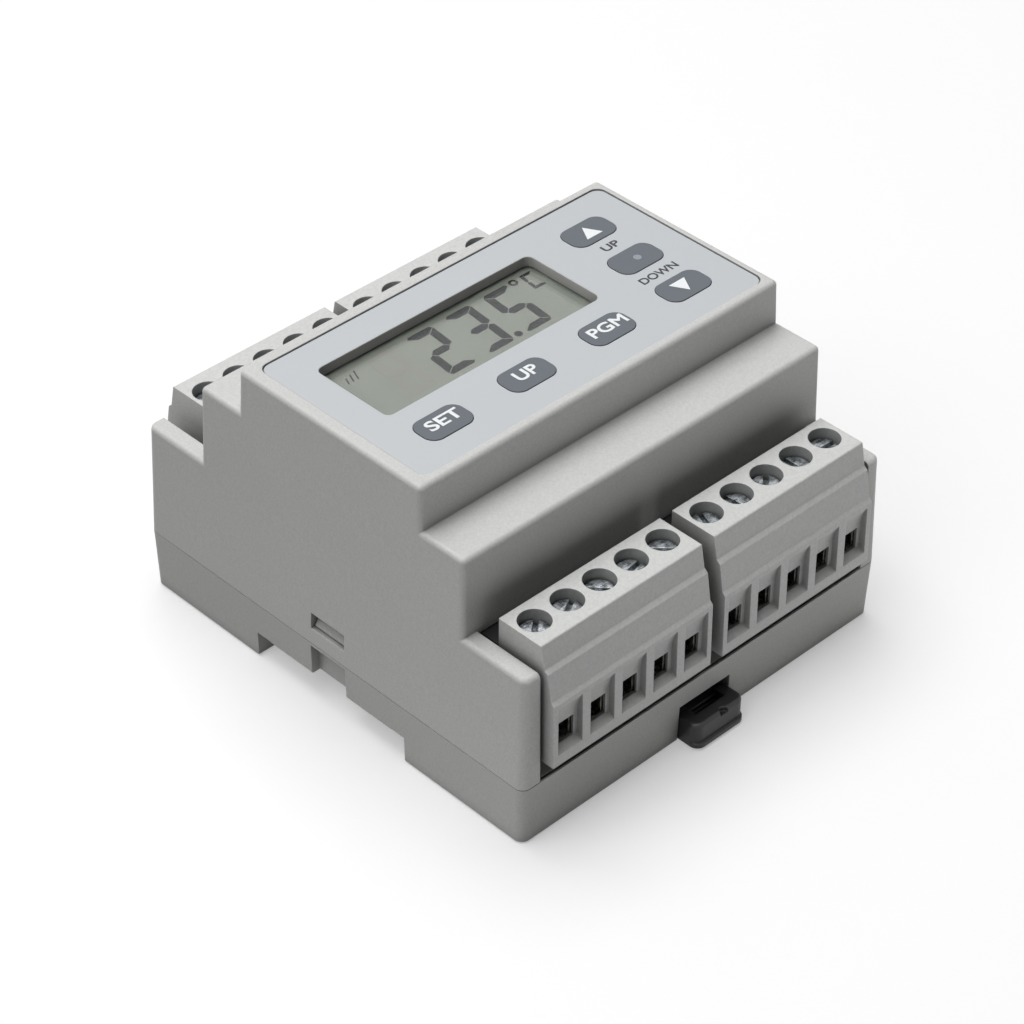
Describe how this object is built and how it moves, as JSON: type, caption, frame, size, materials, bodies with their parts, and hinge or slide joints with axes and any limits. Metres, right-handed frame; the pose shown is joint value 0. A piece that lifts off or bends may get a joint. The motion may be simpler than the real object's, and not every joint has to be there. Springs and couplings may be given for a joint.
{
  "type": "pid temperature controller",
  "caption": "Rail-mounted temperature controller in a stepped grey module housing, with a display, panel keys and plug-in screw terminal blocks.",
  "frame": {"origin": "middle of the raised pad that seats on the mounting rail", "axes": "+X runs along the rail, +Y is the top of the panel lettering, +Z points out of the front panel"},
  "size_m": [0.0874, 0.1027, 0.06],
  "materials": {
    "housing_plastic": "fine spark-eroded texture",
    "terminal_plastic": "smooth satin",
    "panel_film": "fine velvet film",
    "key_rubber": "matt",
    "clear_lens": "polished",
    "display_glass": "satin",
    "circuit_board": "lacquered",
    "relay_plastic": "satin",
    "latch_plastic": "satin",
    "screw_steel": "zinc plated",
    "clamp_steel": "nickel plated"
  },
  "bodies": {
    "housing": {"base": "housing_plastic", "cover": "housing_plastic", "faceplate": "panel_film", "display_lens": "clear_lens", "lcd_panel": "display_glass", "display_board": "circuit_board", "main_board": "circuit_board", "relays": "relay_plastic", "header_sockets": "terminal_plastic"},
    "key_set": {"key_set": "key_rubber"},
    "key_up": {"key_up": "key_rubber"},
    "key_pgm": {"key_pgm": "key_rubber"},
    "key_arrow_up": {"key_arrow_up": "key_rubber"},
    "key_blank": {"key_blank": "key_rubber"},
    "key_arrow_down": {"key_arrow_down": "key_rubber"},
    "rail_latch": {"rail_latch": "latch_plastic"},
    "block_front_left": {"terminal_block_front_left": "terminal_plastic"},
    "screw_front_left_1": {"screw_front_left_1": "screw_steel"},
    "clamp_front_left_1": {"clamp_front_left_1": "clamp_steel"},
    "screw_front_left_2": {"screw_front_left_2": "screw_steel"},
    "clamp_front_left_2": {"clamp_front_left_2": "clamp_steel"},
    "screw_front_left_3": {"screw_front_left_3": "screw_steel"},
    "clamp_front_left_3": {"clamp_front_left_3": "clamp_steel"},
    "screw_front_left_4": {"screw_front_left_4": "screw_steel"},
    "clamp_front_left_4": {"clamp_front_left_4": "clamp_steel"},
    "screw_front_left_5": {"screw_front_left_5": "screw_steel"},
    "clamp_front_left_5": {"clamp_front_left_5": "clamp_steel"},
    "block_front_right": {"terminal_block_front_right": "terminal_plastic"},
    "screw_front_right_1": {"screw_front_right_1": "screw_steel"},
    "clamp_front_right_1": {"clamp_front_right_1": "clamp_steel"},
    "screw_front_right_2": {"screw_front_right_2": "screw_steel"},
    "clamp_front_right_2": {"clamp_front_right_2": "clamp_steel"},
    "screw_front_right_3": {"screw_front_right_3": "screw_steel"},
    "clamp_front_right_3": {"clamp_front_right_3": "clamp_steel"},
    "screw_front_right_4": {"screw_front_right_4": "screw_steel"},
    "clamp_front_right_4": {"clamp_front_right_4": "clamp_steel"},
    "screw_front_right_5": {"screw_front_right_5": "screw_steel"},
    "clamp_front_right_5": {"clamp_front_right_5": "clamp_steel"},
    "block_rear_left": {"terminal_block_rear_left": "terminal_plastic"},
    "screw_rear_left_1": {"screw_rear_left_1": "screw_steel"},
    "clamp_rear_left_1": {"clamp_rear_left_1": "clamp_steel"},
    "screw_rear_left_2": {"screw_rear_left_2": "screw_steel"},
    "clamp_rear_left_2": {"clamp_rear_left_2": "clamp_steel"},
    "screw_rear_left_3": {"screw_rear_left_3": "screw_steel"},
    "clamp_rear_left_3": {"clamp_rear_left_3": "clamp_steel"},
    "screw_rear_left_4": {"screw_rear_left_4": "screw_steel"},
    "clamp_rear_left_4": {"clamp_rear_left_4": "clamp_steel"},
    "screw_rear_left_5": {"screw_rear_left_5": "screw_steel"},
    "clamp_rear_left_5": {"clamp_rear_left_5": "clamp_steel"},
    "block_rear_right": {"terminal_block_rear_right": "terminal_plastic"},
    "screw_rear_right_1": {"screw_rear_right_1": "screw_steel"},
    "clamp_rear_right_1": {"clamp_rear_right_1": "clamp_steel"},
    "screw_rear_right_2": {"screw_rear_right_2": "screw_steel"},
    "clamp_rear_right_2": {"clamp_rear_right_2": "clamp_steel"},
    "screw_rear_right_3": {"screw_rear_right_3": "screw_steel"},
    "clamp_rear_right_3": {"clamp_rear_right_3": "clamp_steel"},
    "screw_rear_right_4": {"screw_rear_right_4": "screw_steel"},
    "clamp_rear_right_4": {"clamp_rear_right_4": "clamp_steel"},
    "screw_rear_right_5": {"screw_rear_right_5": "screw_steel"},
    "clamp_rear_right_5": {"clamp_rear_right_5": "clamp_steel"}
  },
  "joints": [
    {"name": "key_set_press", "type": "slide", "parent": "housing", "child": "key_set", "axis": [0, 0, -1], "range_m": [0, 0.0004], "stiffness_N_per_m": 3000},
    {"name": "key_up_press", "type": "slide", "parent": "housing", "child": "key_up", "axis": [0, 0, -1], "range_m": [0, 0.0004], "stiffness_N_per_m": 3000},
    {"name": "key_pgm_press", "type": "slide", "parent": "housing", "child": "key_pgm", "axis": [0, 0, -1], "range_m": [0, 0.0004], "stiffness_N_per_m": 3000},
    {"name": "key_arrow_up_press", "type": "slide", "parent": "housing", "child": "key_arrow_up", "axis": [0, 0, -1], "range_m": [0, 0.0004], "stiffness_N_per_m": 3000},
    {"name": "key_blank_press", "type": "slide", "parent": "housing", "child": "key_blank", "axis": [0, 0, -1], "range_m": [0, 0.0004], "stiffness_N_per_m": 3000},
    {"name": "key_arrow_down_press", "type": "slide", "parent": "housing", "child": "key_arrow_down", "axis": [0, 0, -1], "range_m": [0, 0.0004], "stiffness_N_per_m": 3000},
    {"name": "latch_pull", "type": "slide", "parent": "housing", "child": "rail_latch", "axis": [0, -1, 0], "range_m": [0, 0.004], "stiffness_N_per_m": 1500},
    {"name": "block_front_left_unplug", "type": "slide", "parent": "housing", "child": "block_front_left", "axis": [0, -1, 0], "range_m": [0, 0.016]},
    {"name": "screw_front_left_1_turn", "type": "hinge", "parent": "block_front_left", "child": "screw_front_left_1", "pos_m": [-0.03488, -0.0408, 0.03], "axis": [0, 0, 1], "range_deg": [-2498, 0]},
    {"name": "clamp_front_left_1_rise", "type": "slide", "parent": "block_front_left", "child": "clamp_front_left_1", "axis": [0, 0, 1], "range_m": [0, 0.0034]},
    {"name": "screw_front_left_2_turn", "type": "hinge", "parent": "block_front_left", "child": "screw_front_left_2", "pos_m": [-0.02747, -0.0408, 0.03], "axis": [0, 0, 1], "range_deg": [-2498, 0]},
    {"name": "clamp_front_left_2_rise", "type": "slide", "parent": "block_front_left", "child": "clamp_front_left_2", "axis": [0, 0, 1], "range_m": [0, 0.0034]},
    {"name": "screw_front_left_3_turn", "type": "hinge", "parent": "block_front_left", "child": "screw_front_left_3", "pos_m": [-0.02007, -0.0408, 0.03], "axis": [0, 0, 1], "range_deg": [-2498, 0]},
    {"name": "clamp_front_left_3_rise", "type": "slide", "parent": "block_front_left", "child": "clamp_front_left_3", "axis": [0, 0, 1], "range_m": [0, 0.0034]},
    {"name": "screw_front_left_4_turn", "type": "hinge", "parent": "block_front_left", "child": "screw_front_left_4", "pos_m": [-0.01268, -0.0408, 0.03], "axis": [0, 0, 1], "range_deg": [-2498, 0]},
    {"name": "clamp_front_left_4_rise", "type": "slide", "parent": "block_front_left", "child": "clamp_front_left_4", "axis": [0, 0, 1], "range_m": [0, 0.0034]},
    {"name": "screw_front_left_5_turn", "type": "hinge", "parent": "block_front_left", "child": "screw_front_left_5", "pos_m": [-0.00528, -0.0408, 0.03], "axis": [0, 0, 1], "range_deg": [-2498, 0]},
    {"name": "clamp_front_left_5_rise", "type": "slide", "parent": "block_front_left", "child": "clamp_front_left_5", "axis": [0, 0, 1], "range_m": [0, 0.0034]},
    {"name": "block_front_right_unplug", "type": "slide", "parent": "housing", "child": "block_front_right", "axis": [0, -1, 0], "range_m": [0, 0.016]},
    {"name": "screw_front_right_1_turn", "type": "hinge", "parent": "block_front_right", "child": "screw_front_right_1", "pos_m": [0.00528, -0.0408, 0.03], "axis": [0, 0, 1], "range_deg": [-2498, 0]},
    {"name": "clamp_front_right_1_rise", "type": "slide", "parent": "block_front_right", "child": "clamp_front_right_1", "axis": [0, 0, 1], "range_m": [0, 0.0034]},
    {"name": "screw_front_right_2_turn", "type": "hinge", "parent": "block_front_right", "child": "screw_front_right_2", "pos_m": [0.01268, -0.0408, 0.03], "axis": [0, 0, 1], "range_deg": [-2498, 0]},
    {"name": "clamp_front_right_2_rise", "type": "slide", "parent": "block_front_right", "child": "clamp_front_right_2", "axis": [0, 0, 1], "range_m": [0, 0.0034]},
    {"name": "screw_front_right_3_turn", "type": "hinge", "parent": "block_front_right", "child": "screw_front_right_3", "pos_m": [0.02007, -0.0408, 0.03], "axis": [0, 0, 1], "range_deg": [-2498, 0]},
    {"name": "clamp_front_right_3_rise", "type": "slide", "parent": "block_front_right", "child": "clamp_front_right_3", "axis": [0, 0, 1], "range_m": [0, 0.0034]},
    {"name": "screw_front_right_4_turn", "type": "hinge", "parent": "block_front_right", "child": "screw_front_right_4", "pos_m": [0.02747, -0.0408, 0.03], "axis": [0, 0, 1], "range_deg": [-2498, 0]},
    {"name": "clamp_front_right_4_rise", "type": "slide", "parent": "block_front_right", "child": "clamp_front_right_4", "axis": [0, 0, 1], "range_m": [0, 0.0034]},
    {"name": "screw_front_right_5_turn", "type": "hinge", "parent": "block_front_right", "child": "screw_front_right_5", "pos_m": [0.03488, -0.0408, 0.03], "axis": [0, 0, 1], "range_deg": [-2498, 0]},
    {"name": "clamp_front_right_5_rise", "type": "slide", "parent": "block_front_right", "child": "clamp_front_right_5", "axis": [0, 0, 1], "range_m": [0, 0.0034]},
    {"name": "block_rear_left_unplug", "type": "slide", "parent": "housing", "child": "block_rear_left", "axis": [0, 1, 0], "range_m": [0, 0.016]},
    {"name": "screw_rear_left_1_turn", "type": "hinge", "parent": "block_rear_left", "child": "screw_rear_left_1", "pos_m": [-0.03288, 0.0422, 0.03], "axis": [0, 0, 1], "range_deg": [-2498, 0]},
    {"name": "clamp_rear_left_1_rise", "type": "slide", "parent": "block_rear_left", "child": "clamp_rear_left_1", "axis": [0, 0, 1], "range_m": [0, 0.0034]},
    {"name": "screw_rear_left_2_turn", "type": "hinge", "parent": "block_rear_left", "child": "screw_rear_left_2", "pos_m": [-0.02587, 0.0422, 0.03], "axis": [0, 0, 1], "range_deg": [-2498, 0]},
    {"name": "clamp_rear_left_2_rise", "type": "slide", "parent": "block_rear_left", "child": "clamp_rear_left_2", "axis": [0, 0, 1], "range_m": [0, 0.0034]},
    {"name": "screw_rear_left_3_turn", "type": "hinge", "parent": "block_rear_left", "child": "screw_rear_left_3", "pos_m": [-0.01887, 0.0422, 0.03], "axis": [0, 0, 1], "range_deg": [-2498, 0]},
    {"name": "clamp_rear_left_3_rise", "type": "slide", "parent": "block_rear_left", "child": "clamp_rear_left_3", "axis": [0, 0, 1], "range_m": [0, 0.0034]},
    {"name": "screw_rear_left_4_turn", "type": "hinge", "parent": "block_rear_left", "child": "screw_rear_left_4", "pos_m": [-0.01188, 0.0422, 0.03], "axis": [0, 0, 1], "range_deg": [-2498, 0]},
    {"name": "clamp_rear_left_4_rise", "type": "slide", "parent": "block_rear_left", "child": "clamp_rear_left_4", "axis": [0, 0, 1], "range_m": [0, 0.0034]},
    {"name": "screw_rear_left_5_turn", "type": "hinge", "parent": "block_rear_left", "child": "screw_rear_left_5", "pos_m": [-0.00487, 0.0422, 0.03], "axis": [0, 0, 1], "range_deg": [-2498, 0]},
    {"name": "clamp_rear_left_5_rise", "type": "slide", "parent": "block_rear_left", "child": "clamp_rear_left_5", "axis": [0, 0, 1], "range_m": [0, 0.0034]},
    {"name": "block_rear_right_unplug", "type": "slide", "parent": "housing", "child": "block_rear_right", "axis": [0, 1, 0], "range_m": [0, 0.016]},
    {"name": "screw_rear_right_1_turn", "type": "hinge", "parent": "block_rear_right", "child": "screw_rear_right_1", "pos_m": [0.00487, 0.0422, 0.03], "axis": [0, 0, 1], "range_deg": [-2498, 0]},
    {"name": "clamp_rear_right_1_rise", "type": "slide", "parent": "block_rear_right", "child": "clamp_rear_right_1", "axis": [0, 0, 1], "range_m": [0, 0.0034]},
    {"name": "screw_rear_right_2_turn", "type": "hinge", "parent": "block_rear_right", "child": "screw_rear_right_2", "pos_m": [0.01188, 0.0422, 0.03], "axis": [0, 0, 1], "range_deg": [-2498, 0]},
    {"name": "clamp_rear_right_2_rise", "type": "slide", "parent": "block_rear_right", "child": "clamp_rear_right_2", "axis": [0, 0, 1], "range_m": [0, 0.0034]},
    {"name": "screw_rear_right_3_turn", "type": "hinge", "parent": "block_rear_right", "child": "screw_rear_right_3", "pos_m": [0.01887, 0.0422, 0.03], "axis": [0, 0, 1], "range_deg": [-2498, 0]},
    {"name": "clamp_rear_right_3_rise", "type": "slide", "parent": "block_rear_right", "child": "clamp_rear_right_3", "axis": [0, 0, 1], "range_m": [0, 0.0034]},
    {"name": "screw_rear_right_4_turn", "type": "hinge", "parent": "block_rear_right", "child": "screw_rear_right_4", "pos_m": [0.02587, 0.0422, 0.03], "axis": [0, 0, 1], "range_deg": [-2498, 0]},
    {"name": "clamp_rear_right_4_rise", "type": "slide", "parent": "block_rear_right", "child": "clamp_rear_right_4", "axis": [0, 0, 1], "range_m": [0, 0.0034]},
    {"name": "screw_rear_right_5_turn", "type": "hinge", "parent": "block_rear_right", "child": "screw_rear_right_5", "pos_m": [0.03288, 0.0422, 0.03], "axis": [0, 0, 1], "range_deg": [-2498, 0]},
    {"name": "clamp_rear_right_5_rise", "type": "slide", "parent": "block_rear_right", "child": "clamp_rear_right_5", "axis": [0, 0, 1], "range_m": [0, 0.0034]}
  ],
  "couplings": [
    {"joint": "screw_front_left_1_turn", "follows": "clamp_front_left_1_rise", "rad_per_m": -12566},
    {"joint": "screw_front_left_2_turn", "follows": "clamp_front_left_2_rise", "rad_per_m": -12566},
    {"joint": "screw_front_left_3_turn", "follows": "clamp_front_left_3_rise", "rad_per_m": -12566},
    {"joint": "screw_front_left_4_turn", "follows": "clamp_front_left_4_rise", "rad_per_m": -12566},
    {"joint": "screw_front_left_5_turn", "follows": "clamp_front_left_5_rise", "rad_per_m": -12566},
    {"joint": "screw_front_right_1_turn", "follows": "clamp_front_right_1_rise", "rad_per_m": -12566},
    {"joint": "screw_front_right_2_turn", "follows": "clamp_front_right_2_rise", "rad_per_m": -12566},
    {"joint": "screw_front_right_3_turn", "follows": "clamp_front_right_3_rise", "rad_per_m": -12566},
    {"joint": "screw_front_right_4_turn", "follows": "clamp_front_right_4_rise", "rad_per_m": -12566},
    {"joint": "screw_front_right_5_turn", "follows": "clamp_front_right_5_rise", "rad_per_m": -12566},
    {"joint": "screw_rear_left_1_turn", "follows": "clamp_rear_left_1_rise", "rad_per_m": -12566},
    {"joint": "screw_rear_left_2_turn", "follows": "clamp_rear_left_2_rise", "rad_per_m": -12566},
    {"joint": "screw_rear_left_3_turn", "follows": "clamp_rear_left_3_rise", "rad_per_m": -12566},
    {"joint": "screw_rear_left_4_turn", "follows": "clamp_rear_left_4_rise", "rad_per_m": -12566},
    {"joint": "screw_rear_left_5_turn", "follows": "clamp_rear_left_5_rise", "rad_per_m": -12566},
    {"joint": "screw_rear_right_1_turn", "follows": "clamp_rear_right_1_rise", "rad_per_m": -12566},
    {"joint": "screw_rear_right_2_turn", "follows": "clamp_rear_right_2_rise", "rad_per_m": -12566},
    {"joint": "screw_rear_right_3_turn", "follows": "clamp_rear_right_3_rise", "rad_per_m": -12566},
    {"joint": "screw_rear_right_4_turn", "follows": "clamp_rear_right_4_rise", "rad_per_m": -12566},
    {"joint": "screw_rear_right_5_turn", "follows": "clamp_rear_right_5_rise", "rad_per_m": -12566}
  ]
}
